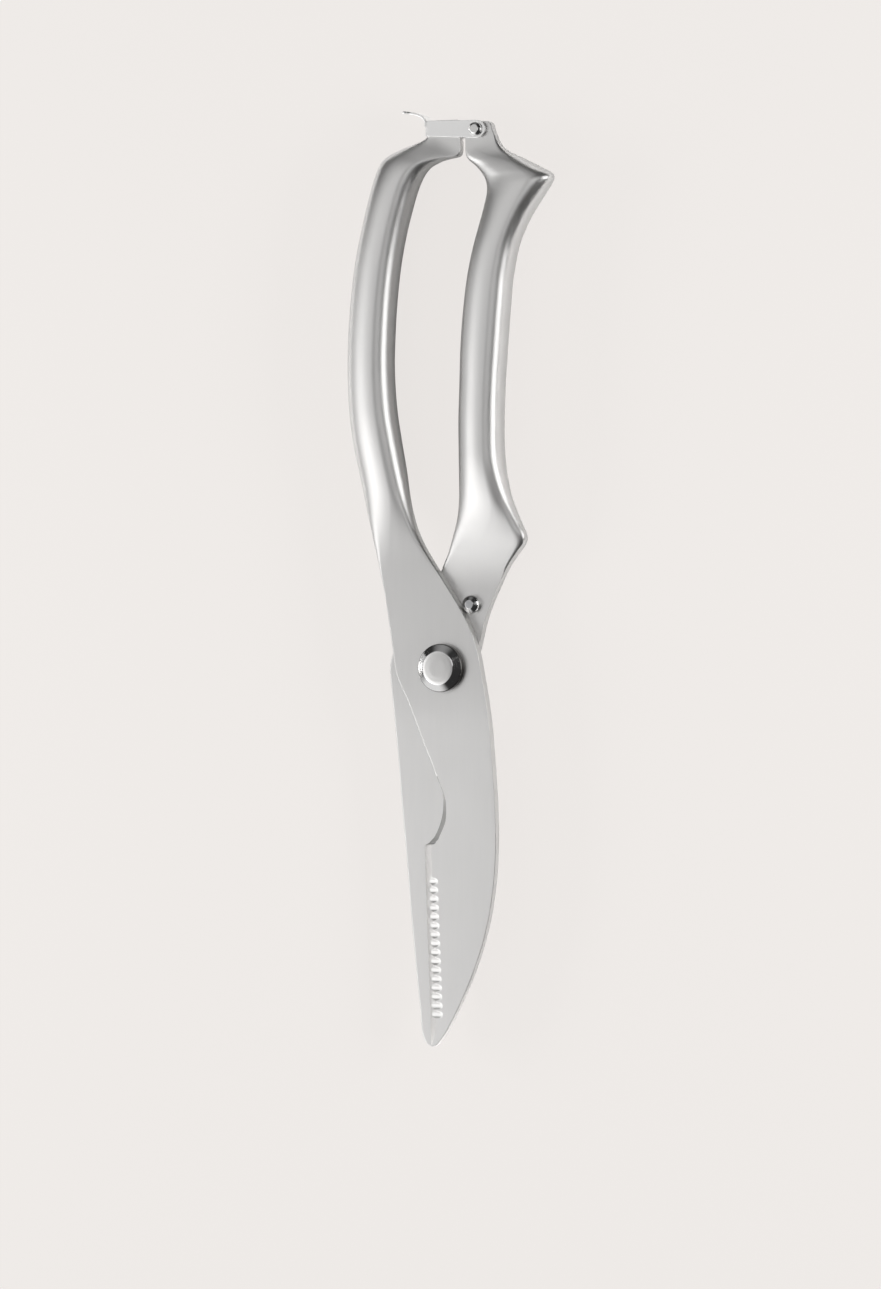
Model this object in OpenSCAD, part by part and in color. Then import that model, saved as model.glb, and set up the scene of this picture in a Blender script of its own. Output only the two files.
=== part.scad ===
// Poultry shears: two forged levers crossing on a pivot bolt, a return spring hidden
// round the pivot, a closing stop rivet and a swinging latch over the handle ends.
// Lying flat: +Y runs from blade tips to handles, +X to the right, +Z is the front face.
// Outlines are drawn about the pivot axis and the blades' contact plane, then the whole
// thing is moved so its footprint is centred and it rests on z = 0.

/* [Blades] */
// Thickness of each blade plate
plate_t = 2.6; // [2.2:0.1:3.2]
// Gap left between the two plates where they slide on each other
face_gap = 0.1; // [0.06:0.02:0.2]
// Drop of the outer face from the pivot to the tip (taper of each blade)
tip_drop = 0.9; // [0.4:0.1:1.2]
// Width of the ground band along the front blade's cutting edge
bevel_w = 2.5; // [2:0.1:2.8]
// Width of the ground band round the bone notch
notch_bevel = 1.4; // [0.8:0.1:1.8]
// Number of teeth on the front blade
teeth = 16; // [10:1:20]
// Distance from tooth to tooth
tooth_pitch = 2.38; // [2:0.02:2.6]
// Radius of the grooves between the teeth
tooth_r = 0.95; // [0.8:0.05:1.05]
// Slope of the grooves against the blade's face
tooth_slope = 17; // [12:1:25]
// How far the grooves run in from the cutting edge
tooth_in = 4.9; // [4.2:0.1:5.2]
// Start of the teeth, measured down from the pivot
tooth_start = 57.2; // [52:0.2:60]

/* [Handles] */
// Half thickness of the handles at the grip
grip_b = 4.5; // [4.5:0.1:5.5]
// Half thickness of the flat tips under the latch
tip_b = 1.2; // [1:0.1:1.6]

/* [Pivot] */
// Radius of the bolt head and of the nut
head_r = 6.5; // [6:0.1:7]
// Height of the bolt head above the front lever
head_h = 3.1; // [2.4:0.1:3.6]
// Radius of the flat on top of the bolt head
head_flat_r = 4.5; // [4:0.1:5]
// Height of the nut behind the rear lever
nut_h = 1.45; // [1.25:0.05:1.45]
// Radius of the bolt shank
shank_r = 2.4; // [2:0.1:2.6]
// Outer radius of the steel sleeve on the shank
sleeve_r = 3.2; // [3:0.1:3.4]
// Running clearance of the rear lever on the sleeve
run_gap = 0.05; // [0.03:0.01:0.08]
// Thickness of the washer under the nut
washer_t = 0.4; // [0.3:0.05:0.4]

/* [Return spring] */
// Radius of the spring wire
wire_r = 0.4; // [0.3:0.05:0.45]
// Mean radius of the spring coils
coil_r = 4.3; // [4.1:0.1:4.5]
// Radius of the round pocket that holds the coils
pocket_r = 5.4; // [5.2:0.1:5.6]
// Depth of the pocket in each lever
pocket_d = 1.2; // [1.1:0.05:1.3]

/* [Stop rivet] */
// Radius of the stop rivet's head
stop_r = 2.5; // [2.2:0.1:2.5]
// Height of the stop rivet's head
stop_h = 2.2; // [1.8:0.1:2.4]

/* [Latch] */
// Sheet thickness of the latch
latch_t = 0.8; // [0.6:0.1:1]
// Side gap between latch and handle tips
latch_gap = 0.15; // [0.1:0.05:0.2]
// Height of the latch arms
arm_h = 4.1; // [3.8:0.1:4.4]
// Radius of the latch rivet's heads
lrivet_r = 1.9; // [1.6:0.1:2.1]

/* [Hidden] */
$fn = 64;
steel = [0.80, 0.80, 0.81];
shiny = [0.70, 0.71, 0.73];

// ---- curves: smooth line through rounded points (Catmull-Rom) ----
function cr(a, b, c, d, t) = 0.5 * (2 * b + (c - a) * t + (2 * a - 5 * b + 4 * c - d) * t * t
                             + (3 * b - a - 3 * c + d) * t * t * t);
function smooth(p, n = 3) = let (m = len(p) - 1)
    [for (i = [0:m - 1]) for (k = [0:n - 1])
        cr(p[max(i - 1, 0)], p[i], p[i + 1], p[min(i + 2, m)], k / n), p[m]];

// ---- lofted handle: rungs [outer x, outer y, inner x, inner y, top z, bottom z] ----
ring = [[1, 0], [0.97, 0.42], [0.84, 0.80], [0.50, 0.94], [0, 1], [-0.50, 0.94],
        [-0.84, 0.80], [-0.97, 0.42], [-1, 0], [-0.97, -0.42], [-0.84, -0.80],
        [-0.50, -0.94], [0, -1], [0.50, -0.94], [0.84, -0.80], [0.97, -0.42]];
function ring_pts(r) = [for (q = ring)
    [(r[0] + r[2]) / 2 + q[0] * (r[0] - r[2]) / 2, (r[1] + r[3]) / 2 + q[0] * (r[1] - r[3]) / 2,
     max(-g, min(g, (r[4] + r[5]) / 2 + q[1] * (r[4] - r[5]) / 2))]];
module loft(rungs, flip = false) {
    rows = smooth(rungs, 2);
    k = len(ring);
    n = len(rows);
    pts = [for (r = rows) each ring_pts(r)];
    sides = [for (i = [0:n - 2]) for (j = [0:k - 1]) for (h = [0, 1])
        let (a = i * k + j, b = i * k + (j + 1) % k, c = a + k, d = b + k)
        h == 0 ? [a, b, d] : [a, d, c]];
    ends = concat([[for (j = [0:k - 1]) k - 1 - j]], [[for (j = [0:k - 1]) (n - 1) * k + j]]);
    faces = concat(sides, ends);
    polyhedron(pts, flip ? faces : [for (f = faces) [for (j = [1:len(f)]) f[len(f) - j]]],
               convexity = 6);
}

g = grip_b;
b = tip_b;
fz = face_gap / 2;          // inner face of the front plate
ft = fz + plate_t;          // outer face of the front plate
// rounded step from 0 at height a to 1 at height b
function ease(a, b, y) = let (t = max(0, min(1, (y - a) / (b - a)))) t * t * (3 - 2 * t);
// a rung with the faces' heights filled in, and its ends moved out as the section fills up
function fill(r, top, bottom, out, into) = let (
        zt = len(r) > 4 ? r[4] : top, zb = len(r) > 4 ? -r[4] : bottom,
        d = [r[0] - r[2], r[1] - r[3]] / norm([r[0] - r[2], r[1] - r[3]]) * (zt - zb) / (2 * g))
    [r[0] + d[0] * out, r[1] + d[1] * out, r[2] - d[0] * into, r[3] - d[1] * into, zt, zb];
// left handle, from the neck up to the flat tip: [outer x, outer y, inner x, inner y, half height]
left_rungs = [for (r = [
    [-18.6, 25.0, -2.8, 24.6],
    [-19.2, 28.5, -4.3, 28.4],
    [-20.4, 33.2, -6.6, 33.0],
    [-22.0, 39.2, -9.0, 38.6],
    [-23.5, 44.8, -10.8, 44.6],
    [-24.9, 50.8, -12.0, 50.8],
    [-26.9, 60.0, -13.8, 60.0],
    [-28.2, 70.5, -15.4, 70.0],
    [-28.6, 80.0, -16.1, 80.0],
    [-28.4, 90.0, -15.9, 90.0],
    [-27.6, 100.0, -15.2, 100.0],
    [-26.1, 110.5, -13.9, 110.0],
    [-24.2, 119.0, -12.1, 118.4],
    [-22.3, 126.0, -10.2, 124.8],
    [-20.4, 131.6, -8.4, 129.4, g * 0.98],
    [-18.4, 135.8, -6.4, 132.8, g * 0.92],
    [-15.0, 138.2, -3.6, 135.0, g * 0.78],
    [-10.8, 139.8, -0.8, 136.1, g * 0.57],
    [-7.2, 141.2, 2.0, 136.8, g * 0.38],
    [-4.6, 142.2, 4.3, 137.6, b - 0.1]])
    fill(r, ft + (g - ft) * ease(28, 70, r[1]), fz - (g + fz) * ease(26, 56, r[1]), 0.45, 0.25)];
// right handle, from the neck up to the flat tip
right_rungs = [for (r = [
    [17.4, 25.6, -0.6, 24.6],
    [18.9, 28.4, 0.0, 28.2],
    [21.2, 31.6, 0.9, 31.6],
    [23.1, 34.6, 2.0, 34.8],
    [21.6, 38.8, 3.4, 38.8],
    [19.4, 44.0, 4.1, 43.6],
    [17.6, 50.0, 4.4, 49.6],
    [16.6, 57.0, 4.4, 57.0],
    [16.4, 66.0, 4.3, 66.0],
    [16.7, 76.0, 4.6, 76.0],
    [17.4, 86.0, 4.9, 86.0],
    [18.2, 96.0, 5.7, 96.0],
    [19.3, 106.0, 7.1, 106.0],
    [21.1, 113.0, 9.0, 114.0],
    [24.2, 120.0, 11.2, 121.0],
    [28.2, 126.0, 12.6, 126.8],
    [31.3, 130.8, 11.7, 131.5, g * 0.92],
    [27.0, 134.0, 9.6, 134.0, g * 0.76],
    [21.0, 137.0, 7.6, 135.8, g * 0.55],
    [16.6, 139.2, 6.6, 137.4, g * 0.38],
    [14.6, 142.0, 6.2, 139.6, b - 0.1]])
    fill(r, (g + fz) * ease(21, 57, r[1]) - fz, -ft - (g - ft) * ease(28, 60, r[1]), 0.25, 0.45)];

// ---- flat parts of the levers ----
// front lever: neck left side, front blade with bone notch, cutting edge, spine, neck right
notch_end = [-4.9, -46.9];
edge_top = [-6.3, -47.5];
edge_tip = [-4.3, -101.2];
front_left = smooth([[-19.4, 29.5], [-18.1, 23.6], [-16.8, 18.2], [-15.4, 7.5], [-14.5, 3.5],
    [-13.8, -1.9], [-12.3, -5.1], [-10.2, -8.6], [-8.7, -12.6], [-7.0, -16.8], [-5.2, -21.2],
    [-3.4, -25.2], [-1.4, -30], [-0.2, -33.2], [0.1, -36.5], [-0.5, -40.2], [-1.8, -43.2],
    [-3.1, -45.2], notch_end]);
front_right = smooth([[-3.4, -101.6], [-2.2, -101.1], [-0.8, -99.6], [2.6, -94.4],
    [5.4, -89], [7.9, -83.7], [10.1, -78.3], [13.2, -68], [14.8, -59], [15.6, -49],
    [15.5, -38], [14.8, -27], [13.9, -16.5], [12.8, -8.6], [11.7, -2.6], [10.5, 3.5],
    [8.5, 9.7], [5.6, 15.3], [1.3, 23.1], [-2.8, 29.0]]);
front_outline = concat(front_left, [edge_top, edge_tip], front_right);
// rear lever: neck right side, hidden cutting edge, tip, spine with its shoulder, neck left
rear_right = smooth([[18.6, 28.5], [17.0, 25.5], [15.9, 23.1], [13.5, 18.2], [11.4, 12.9],
    [9.9, 7.0], [9.0, 3.2], [8.6, -4], [7.8, -12], [6.0, -21], [3.6, -33]]);
rear_left = smooth([[-4.6, -101.3], [-5.7, -101.0], [-6.6, -99.6], [-7.8, -91.7],
    [-9.3, -78.3], [-10.9, -62.2], [-12.2, -47.5], [-13.4, -35.4], [-14.6, -22],
    [-15.9, -9.9], [-16.6, -3.2], [-16.8, 0.4], [-16.2, 3.2], [-13.8, 7.2], [-10.2, 12.2],
    [-6.2, 18.0], [-3.0, 23.2], [-0.4, 28.6]]);
rear_outline = concat(rear_right, [[-3.7, -101.2]], rear_left);
// flat tips under the latch
left_tip = [[-4.5, 141.0], [-4.5, 145.8], [-4.2, 146.5], [-3.5, 146.8], [3.9, 146.8],
    [4.6, 146.2], [4.6, 137.4], [0.5, 137.2]];
right_tip = [[6.1, 138.4], [6.1, 145.6], [6.7, 146.2], [12.8, 146.2], [13.6, 145.6],
    [14.2, 143.4], [15.0, 141.2], [12.0, 138.2]];

// ---- overall extents and the move to the resting place ----
stop_at = [7.62, 17.0];
rivet_at = [9.6, 144.1];
tab = [[-5.2, 146.2], [-5.9, 147.5], [-7.2, 148.3], [-9.6, 148.9], [-12.6, 149.4]];
x_min = min([for (p = smooth(left_rungs, 2)) p[0]]);
x_max = max([for (p = smooth(right_rungs, 2)) p[0]]);
y_min = min([for (p = front_right) p[1]]);
y_max = tab[4][1] + 0.4 * latch_t;
shift = [-(x_min + x_max) / 2, -(y_min + y_max) / 2, grip_b];
echo(pivot = shift, stop = shift + [stop_at[0], stop_at[1], 0],
     latch_rivet = shift + [rivet_at[0], rivet_at[1], 0], size = [x_max - x_min, y_max - y_min]);

// cuts the outer face down to the thin tip: s = 1 front blade, s = -1 rear blade
module taper_cut(s) {
    a = atan(tip_drop / 88);
    scale([1, 1, s]) translate([0, -12, ft]) rotate([a, 0, 0])
        translate([-60, -120, 0]) cube([120, 120, 6]);
}

module front_lever() color(steel) {
    difference() {
        union() {
            loft(left_rungs);
            translate([0, 0, fz]) linear_extrude(plate_t) polygon(front_outline);
            translate([0, 0, -tip_b]) linear_extrude(2 * tip_b) polygon(left_tip);
        }
        taper_cut(1);
        front_grind();
        cylinder(r = sleeve_r, h = 20, center = true);
        translate([0, 0, -1]) cylinder(r = pocket_r, h = 1 + pocket_d);
        spring_slot(1);
        // room for the rear lever's shoulder under the neck
        translate([0, 0, -8 + fz]) cylinder(r = 27.5, h = 8);
    }
}
// bevel along the straight edge, bevel round the bone notch, and the teeth
module front_grind() {
    d = edge_tip - edge_top;
    a = atan2(d[1], d[0]);
    translate([edge_top[0], edge_top[1], fz + 0.2]) rotate([0, 0, a])
        rotate([atan((plate_t - 0.6) / bevel_w), 0, 0])
            translate([-0.2, -8, 0]) cube([norm(d) + 3, 16, 8]);
    translate([-13.9, -36.1, fz + 0.3])
        cylinder(r1 = 13.9, r2 = 14.06 + notch_bevel, h = plate_t - 0.29);
    for (i = [0:teeth - 1])
        let (y = -tooth_start - i * tooth_pitch, x = edge_top[0] + (y - edge_top[1]) * d[0] / d[1],
             face = ft + (y + 12) * tip_drop / 88)
            translate([x + tooth_in, y, face + tooth_r]) rotate([0, -tooth_slope, 0])
                rotate([0, -90, 0]) translate([0, 0, -3]) cylinder(r = tooth_r, h = 9, $fn = 32);
}
// radial slot that takes a spring leg: s = 1 in the front lever, s = -1 in the rear lever
module spring_slot(s) {
    rotate([0, 0, s > 0 ? 200 : 20]) translate([coil_r - 0.5, -0.6, s > 0 ? -0.5 : -pocket_d])
        cube([4.6, 1.2, pocket_d + 0.5]);
}

module rear_lever() color(steel) {
    difference() {
        union() {
            loft(right_rungs, true);
            translate([0, 0, -ft]) linear_extrude(plate_t) polygon(rear_outline);
            translate([0, 0, -tip_b]) linear_extrude(2 * tip_b) polygon(right_tip);
        }
        taper_cut(-1);
        cylinder(r = sleeve_r + run_gap, h = 20, center = true);
        translate([0, 0, -pocket_d]) cylinder(r = pocket_r, h = 1 + pocket_d);
        spring_slot(-1);
        translate([stop_at[0], stop_at[1], -10]) cylinder(r = 1.5, h = 20);
        translate([rivet_at[0], rivet_at[1], -10]) cylinder(r = 1.0, h = 20);
        // room for the front lever over the neck
        translate([0, 0, -fz]) cylinder(r = 27.5, h = 8);
    }
}

module pivot_bolt() color(shiny) {
    translate([0, 0, ft]) rotate_extrude() polygon([[0, 0], [head_r, 0],
        [head_r, head_h * 0.48], [head_r - 0.15, head_h * 0.54], [head_flat_r, head_h - 0.07],
        [head_flat_r - 0.3, head_h], [0, head_h]]);
    translate([0, 0, -ft - washer_t - 0.9]) cylinder(r = shank_r, h = ft * 2 + washer_t + 1.0);
}
module pivot_sleeve() color(shiny)
    translate([0, 0, -ft]) difference() {
        cylinder(r = sleeve_r, h = 2 * ft);
        translate([0, 0, -1]) cylinder(r = shank_r, h = 2 * ft + 2);
    }
module pivot_washer() color(shiny)
    translate([0, 0, -ft - washer_t]) difference() {
        cylinder(r = 5.4, h = washer_t - run_gap);
        translate([0, 0, -1]) cylinder(r = shank_r, h = 3);
    }
module pivot_nut() color(shiny)
    translate([0, 0, -ft - washer_t]) scale([1, 1, -1]) difference() {
        rotate_extrude() polygon([[0, 0], [head_r - 0.4, 0], [head_r - 0.4, 0.7],
            [head_r - 0.9, nut_h - 0.35], [head_r - 1.6, nut_h], [0, nut_h]]);
        translate([0, 0, -1]) cylinder(r = shank_r, h = 1.9);
        for (s = [-1, 1]) translate([3.4 * s, 0, nut_h - 0.7]) cylinder(r = 0.6, h = 2);
    }

// two open coils joined by a short ramp, with a leg into each lever
module return_spring() color(shiny) {
    z1 = 0.5;
    for (s = [-1, 1]) translate([0, 0, s * z1]) rotate([0, 0, s < 0 ? 20 : 10])
        rotate_extrude(angle = s < 0 ? 310 : 190) translate([coil_r, 0])
            circle(r = wire_r, $fn = 16);
    ramp_a = coil_r * [cos(330), sin(330)];
    ramp_b = coil_r * [cos(10), sin(10)];
    d = ramp_b - ramp_a;
    translate([ramp_a[0], ramp_a[1], -z1]) rotate([0, 0, atan2(d[1], d[0])])
        rotate([0, 90 - atan(2 * z1 / norm(d)), 0]) {
            cylinder(r = wire_r, h = norm([norm(d), 2 * z1]), $fn = 16);
            sphere(r = wire_r, $fn = 16);
            translate([0, 0, norm([norm(d), 2 * z1])]) sphere(r = wire_r, $fn = 16);
        }
    for (s = [-1, 1]) rotate([0, 0, s < 0 ? 20 : 200]) translate([coil_r, 0, s * z1])
        rotate([0, 90, 0]) cylinder(r = wire_r, h = 3.2, $fn = 16);
}

module stop_rivet() color(shiny) translate([stop_at[0], stop_at[1], -fz]) {
    rotate_extrude() polygon([[0, 0], [stop_r, 0], [stop_r, 1.0], [stop_r - 0.3, 1.4],
        [stop_r - 1.1, stop_h - 0.1], [1.1, stop_h], [0, stop_h]]);
    translate([0, 0, -plate_t - 0.1]) cylinder(r = 1.5, h = plate_t + 0.2);
    translate([0, 0, -plate_t]) scale([1, 1, -1]) rotate_extrude()
        polygon([[0, 0], [2.1, 0], [2.1, 0.3], [1.4, 0.8], [0, 0.8]]);
}

// sheet bail: an arm over each face of the handle tips, an end wall and a curled finger tab
za = tip_b + latch_gap;
module latch() color(steel) difference() {
    union() {
        for (s = [-1, 1]) translate([0, 0, s > 0 ? za : -za - latch_t]) linear_extrude(latch_t)
            union() {
                polygon([[-5.6, 142.6], [-5.6, 142.6 + arm_h], [rivet_at[0] + 0.4, 146.5],
                         [rivet_at[0] + 0.4, 141.7]]);
                translate([rivet_at[0] + 0.4, 144.1]) circle(r = 2.4, $fn = 48);
            }
        translate([-5.6, 142.6, -za - 0.1]) cube([latch_t, arm_h, 2 * za + 0.2]);
        translate([0, 0, -za - latch_t]) linear_extrude(2 * (za + latch_t)) {
            t = latch_t / 2;
            c = smooth(tab, 4);
            polygon(concat([for (p = c) p + [t * 0.6, t * 0.8]],
                [for (i = [len(c) - 1:-1:0]) c[i] - [t * 0.6, t * 0.8]]));
        }
    }
    translate([rivet_at[0], rivet_at[1], -9]) cylinder(r = 1.0 + run_gap, h = 18);
}
module latch_rivet() color(shiny) translate([rivet_at[0], rivet_at[1], 0]) {
    cylinder(r = 1.0, h = 2 * (za + latch_t), center = true);
    for (s = [-1, 1]) scale([1, 1, s]) translate([0, 0, za + latch_t + run_gap]) rotate_extrude()
        polygon([[0, -0.1], [1.0, -0.1], [1.0, 0], [lrivet_r, 0], [lrivet_r, 0.4],
                 [lrivet_r - 0.4, 0.9], [1.0, 1.1], [0, 1.1]]);
}

translate(shift) {
    front_lever();
    rear_lever();
    pivot_bolt();
    pivot_sleeve();
    pivot_washer();
    pivot_nut();
    return_spring();
    stop_rivet();
    latch();
    latch_rivet();
}
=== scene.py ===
"""Looks of the poultry shears: forged satin levers, polished pivot and rivets, sheet latch."""

import math

import bmesh
import bpy
import numpy as np
from mathutils import Matrix, Vector


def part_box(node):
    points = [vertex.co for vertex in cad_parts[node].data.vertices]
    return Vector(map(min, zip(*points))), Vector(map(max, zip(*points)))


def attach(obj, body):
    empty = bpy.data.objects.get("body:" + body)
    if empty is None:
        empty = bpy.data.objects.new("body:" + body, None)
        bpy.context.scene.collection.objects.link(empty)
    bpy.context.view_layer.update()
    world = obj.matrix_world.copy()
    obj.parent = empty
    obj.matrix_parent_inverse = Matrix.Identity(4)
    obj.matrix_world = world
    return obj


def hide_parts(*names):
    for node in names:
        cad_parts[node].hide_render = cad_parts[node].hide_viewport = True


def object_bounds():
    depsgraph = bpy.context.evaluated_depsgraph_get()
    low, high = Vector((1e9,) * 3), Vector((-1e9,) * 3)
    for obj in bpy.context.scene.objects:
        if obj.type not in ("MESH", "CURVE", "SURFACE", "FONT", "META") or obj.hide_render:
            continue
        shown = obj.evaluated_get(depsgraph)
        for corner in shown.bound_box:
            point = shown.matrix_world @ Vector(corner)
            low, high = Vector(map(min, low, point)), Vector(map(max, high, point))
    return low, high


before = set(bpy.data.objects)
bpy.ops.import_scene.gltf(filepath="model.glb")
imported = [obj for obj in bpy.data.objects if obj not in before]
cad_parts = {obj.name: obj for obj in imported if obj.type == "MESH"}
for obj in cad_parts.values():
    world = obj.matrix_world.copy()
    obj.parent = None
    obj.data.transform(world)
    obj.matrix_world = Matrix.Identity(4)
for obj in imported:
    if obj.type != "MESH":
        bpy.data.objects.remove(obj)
cad_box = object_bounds()

# ---------------------------------------------------------------- sizes, in mm about the pivot
low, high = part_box("pivot_sleeve")
PIVOT = (Vector(low) + Vector(high)) / 2  # pivot axis at the plane where the blades meet
MM = 0.001
GAP = 0.05  # half the running gap between the blades
PLATE = 2.6  # blade thickness at the pivot
FACE = GAP + PLATE  # outer face of a blade above the contact plane, at the pivot
TAPER = 0.9 / 88  # loss of thickness towards the tip
TAPER_FROM = -12.0
NECK_TOP = 26.0  # from here on a lever's section turns into the handle's
EASE = (0.35, 0.35, 0)  # rounding of a lever's edges above the neck
LAND, REAR_LAND = 0.2, 0.15  # flat left under the front and the rear blade's bevels
BEVEL_SLANT = 1.4  # width of the cutting bevel over its depth
GRIP = 4.5  # half thickness of the handles
TIP = 1.2  # half thickness of the handle tips
CROWN = 0.66  # where the top of a handle lies across its width
SWELL_LEFT, SWELL_RIGHT = 0.45, 0.25  # fullness of the handles' sides
EDGE_TOP, EDGE_TIP = (-6.3, -47.5), (-4.3, -101.2)  # ends of the front cutting edge
TEETH, PITCH, FIRST_TOOTH = 16, 2.38, -57.2
TOOTH_R, TOOTH_SLOPE, TOOTH_IN = 1.0, math.radians(17), 4.4
NOTCH_LOW, NOTCH_HIGH = -47.3, -29.0  # how far along the blade the notch's grind runs
SLEEVE_R, POCKET_R, POCKET_D = 3.2, 5.4, 1.2
SHANK_R, HEAD_R, NUT_R = 2.4, 6.48, 6.06
WASHER, NUT_H = 0.4, 1.45
STOP, STOP_SHANK_R = (7.62, 17.0), 1.5
RIVET, RIVET_SHANK_R = (9.6, 144.1), 1.0
LATCH_T, LATCH_GAP = 0.8, 0.15
ARM = TIP + LATCH_GAP  # inner face of each latch arm
LATCH_LEFT, LATCH_LOW, LATCH_HIGH = -5.6, 142.6, 146.7  # outside of the latch's end wall
FAR = 9.0  # beyond every surface, for cutters


# ---------------------------------------------------------------- curves and meshes
def spline(rows, cols=2):
    """A smooth line through rows of numbers, as a function of the distance along it."""
    p = np.array(rows, float)
    step = np.linalg.norm(np.diff(p[:, :cols], axis=0), axis=1)
    at = np.concatenate([[0], np.cumsum(step)])
    slope = np.diff(p, axis=0) / step[:, None]
    w = (step[:-1] / (step[:-1] + step[1:]))[:, None]
    m = np.vstack([slope[:1], slope[:-1] * (1 - w) + slope[1:] * w, slope[-1:]])

    def value(s):
        s = np.clip(np.atleast_1d(np.array(s, float)), 0, at[-1])
        i = np.clip(np.searchsorted(at, s, side="right") - 1, 0, len(step) - 1)
        h = step[i][:, None]
        t = (s - at[i])[:, None] / h
        return (
            (2 * t**3 - 3 * t**2 + 1) * p[i]
            + (t**3 - 2 * t**2 + t) * h * m[i]
            + (3 * t**2 - 2 * t**3) * p[i + 1]
            + (t**3 - t**2) * h * m[i + 1]
        )

    return value, at


def dense(rows, step=0.1):
    """Points at even steps along the smooth line through rows."""
    value, at = spline(rows)
    return value(np.linspace(0, at[-1], int(at[-1] / step) + 2))


def x_at(line, y):
    """Where an outline that climbs in y crosses those heights."""
    return np.interp(y, line[:, 1], line[:, 0])


def smoothstep(a, b, v):
    """Rises smoothly from 0 at a to 1 at b."""
    t = np.clip((np.asarray(v, float) - a) / (b - a), 0, 1)
    return t * t * (3 - 2 * t)


def to_frame(points):
    """Points in mm about the pivot, moved to the shared frame in metres."""
    return [(PIVOT.x + x * MM, PIVOT.y + y * MM, PIVOT.z + z * MM) for x, y, z in points]


def mesh_object(name, verts, faces, smooth=35.0):
    mesh = bpy.data.meshes.new(name)
    mesh.from_pydata(to_frame(verts), [], faces)
    bm = bmesh.new()
    bm.from_mesh(mesh)
    bmesh.ops.remove_doubles(bm, verts=bm.verts, dist=1e-7)
    bmesh.ops.dissolve_degenerate(bm, edges=bm.edges, dist=1e-8)
    bmesh.ops.recalc_face_normals(bm, faces=bm.faces)
    bm.to_mesh(mesh)
    bm.free()
    obj = bpy.data.objects.new(name, mesh)
    bpy.context.collection.objects.link(obj)
    shade(obj, smooth)
    return obj


def shade(obj, angle):
    """Smooth shading, with edges sharper than angle kept crisp."""
    obj.data.polygons.foreach_set("use_smooth", [True] * len(obj.data.polygons))
    obj.data.set_sharp_from_angle(angle=math.radians(angle))


def tube_faces(rings, around):
    """Quads between neighbouring rings of points, and the caps at both ends."""
    faces = []
    for i in range(rings - 1):
        for j in range(around):
            a, b = i * around + j, i * around + (j + 1) % around
            faces.append((a, b, b + around, a + around))
    faces.append(tuple(range(around)))
    faces.append(tuple((rings - 1) * around + j for j in range(around)))
    return faces


def lathe(name, profile, centre, steps=96, flip=False, smooth=30.0):
    """A turned piece: profile is (radius, height) from the axis out and back to the axis."""
    verts, faces = [], []
    for k in range(steps):
        a = 2 * math.pi * k / steps
        for r, z in profile:
            z = -z if flip else z
            verts.append(
                (centre[0] + r * math.cos(a), centre[1] + r * math.sin(a), centre[2] + z)
            )
    n = len(profile)
    for k in range(steps):
        for i in range(n - 1):
            a, b = k * n + i, ((k + 1) % steps) * n + i
            faces.append((a, b, b + 1, a + 1))
    return mesh_object(name, verts, faces, smooth)


def rounded(profile, radius, steps=5):
    """Rounds the corners of a (radius, height) profile, each with its own radius.

    A short hold point on either side of a corner keeps its neighbours flat in shading."""
    most, hold = 0.42, 0.03
    out = [profile[0]]
    for i in range(1, len(profile) - 1):
        a, b, c = (np.array(profile[j], float) for j in (i - 1, i, i + 1))
        to_a, to_c = np.linalg.norm(a - b), np.linalg.norm(c - b)
        r = min(radius[i], to_a * most, to_c * most)
        if r <= 0:
            out.append(tuple(b))
            continue
        p = b + (a - b) / to_a * r
        q = b + (c - b) / to_c * r
        out.append(tuple(p + (a - b) / to_a * hold))
        for k in range(steps + 1):
            t = k / steps
            out.append(tuple(p * (1 - t) ** 2 + b * 2 * t * (1 - t) + q * t * t))
        out.append(tuple(q + (c - b) / to_c * hold))
    out.append(profile[-1])
    return out


def cut(obj, *cutters):
    """Takes the cutters out of obj and removes them."""
    for c in cutters:
        m = obj.modifiers.new("cut", "BOOLEAN")
        m.operation, m.object, m.solver = "DIFFERENCE", c, "EXACT"
    graph = bpy.context.evaluated_depsgraph_get()
    mesh = bpy.data.meshes.new_from_object(obj.evaluated_get(graph))
    obj.modifiers.clear()
    obj.data = mesh
    for c in cutters:
        bpy.data.objects.remove(c)


def drum(centre, r, z0, z1, steps=64):
    """A cylinder to cut with."""
    return lathe("cutter", [(0, z0), (r, z0), (r, z1), (0, z1)], (*centre, 0), steps)


# ---------------------------------------------------------------- sections of a lever
CORNER, TOP, BOTTOM = 11, 28, 14  # points round a corner, over the top and under the bottom
FINE = 18  # of the top's points, those closely spaced next to the left corner for the teeth
HOLD = 0.06  # distance of a flat's first point from the corner next to it


def ring_angles():
    """Where each point of a section sits on the handle's rounded shape, in radians."""
    parts = [[180], np.linspace(173, 128, CORNER), np.linspace(123, 57, TOP)]
    parts += [np.linspace(52, 7, CORNER), [0], np.linspace(-7, -52, CORNER)]
    parts += [np.linspace(-57, -123, BOTTOM), np.linspace(-128, -173, CORNER)]
    return np.radians(np.concatenate(parts))


ANGLES = ring_angles()


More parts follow.
